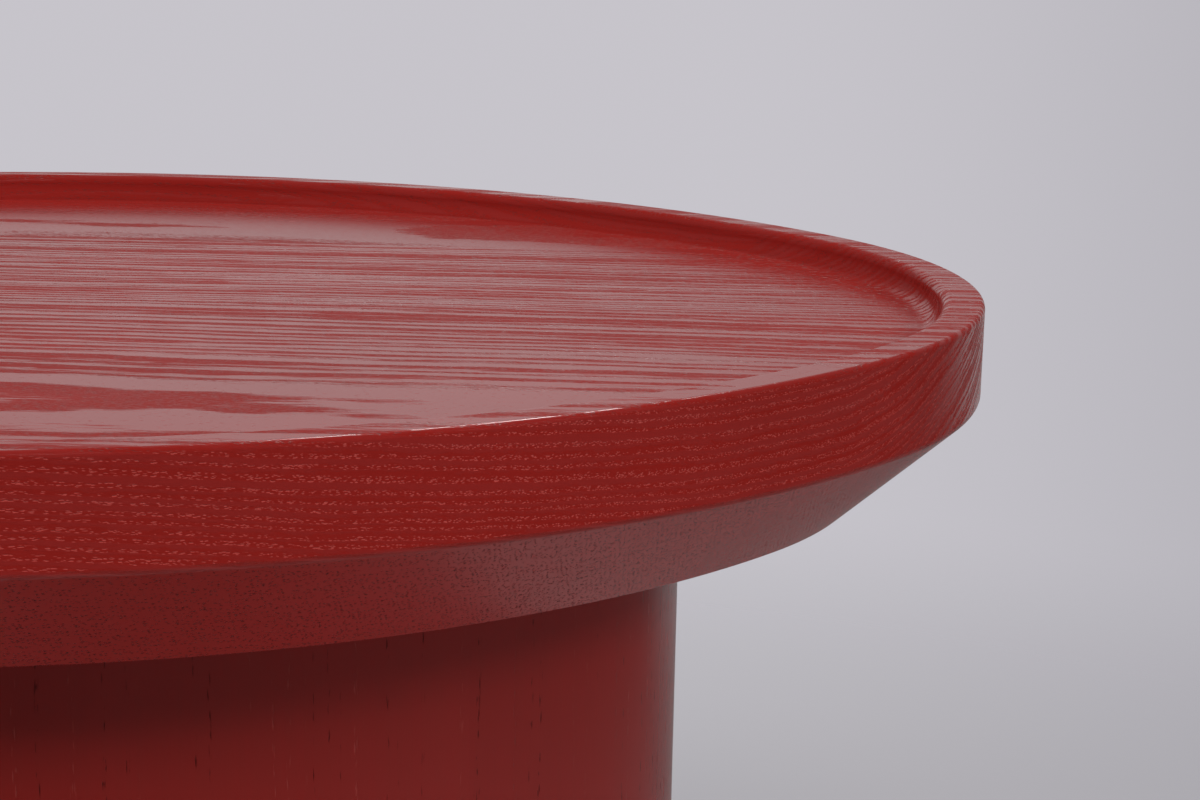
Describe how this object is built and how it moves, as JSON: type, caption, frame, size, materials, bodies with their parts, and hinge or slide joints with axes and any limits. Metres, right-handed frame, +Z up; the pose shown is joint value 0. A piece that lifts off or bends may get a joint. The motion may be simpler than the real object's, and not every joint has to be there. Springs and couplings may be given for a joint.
{
  "type": "oval side table",
  "caption": "Oval side table with a dished, chamfered solid-ash tray top on an oval drum pedestal, stained red.",
  "frame": {"origin": "on the floor under the middle of the table", "axes": "+X along the grain of the top, the table's long way; +Y across the grain, away from the picture's viewer; +Z up"},
  "size_m": [0.6, 0.48, 0.45],
  "materials": {
    "stained_ash": "red stain under satin lacquer, open grain",
    "birch_ply": "sanded, sealed",
    "zinc_steel": "bright zinc plate",
    "pad_felt": "pressed wool felt"
  },
  "bodies": {
    "root": {"top_board_1": "stained_ash", "top_board_2": "stained_ash", "top_board_3": "stained_ash", "top_board_4": "stained_ash", "drum_stave_01": "stained_ash", "drum_stave_02": "stained_ash", "drum_stave_03": "stained_ash", "drum_stave_04": "stained_ash", "drum_stave_05": "stained_ash", "drum_stave_06": "stained_ash", "drum_stave_07": "stained_ash", "drum_stave_08": "stained_ash", "drum_stave_09": "stained_ash", "drum_stave_10": "stained_ash", "drum_stave_11": "stained_ash", "drum_stave_12": "stained_ash", "drum_stave_13": "stained_ash", "drum_stave_14": "stained_ash", "drum_stave_15": "stained_ash", "drum_stave_16": "stained_ash", "drum_stave_17": "stained_ash", "drum_stave_18": "stained_ash", "drum_stave_19": "stained_ash", "drum_stave_20": "stained_ash", "drum_stave_21": "stained_ash", "drum_stave_22": "stained_ash", "drum_stave_23": "stained_ash", "drum_stave_24": "stained_ash", "board_tongue_1": "birch_ply", "board_tongue_2": "birch_ply", "board_tongue_3": "birch_ply", "drum_head": "birch_ply", "top_screws": "zinc_steel", "felt_pads": "pad_felt"}
  },
  "joints": []
}
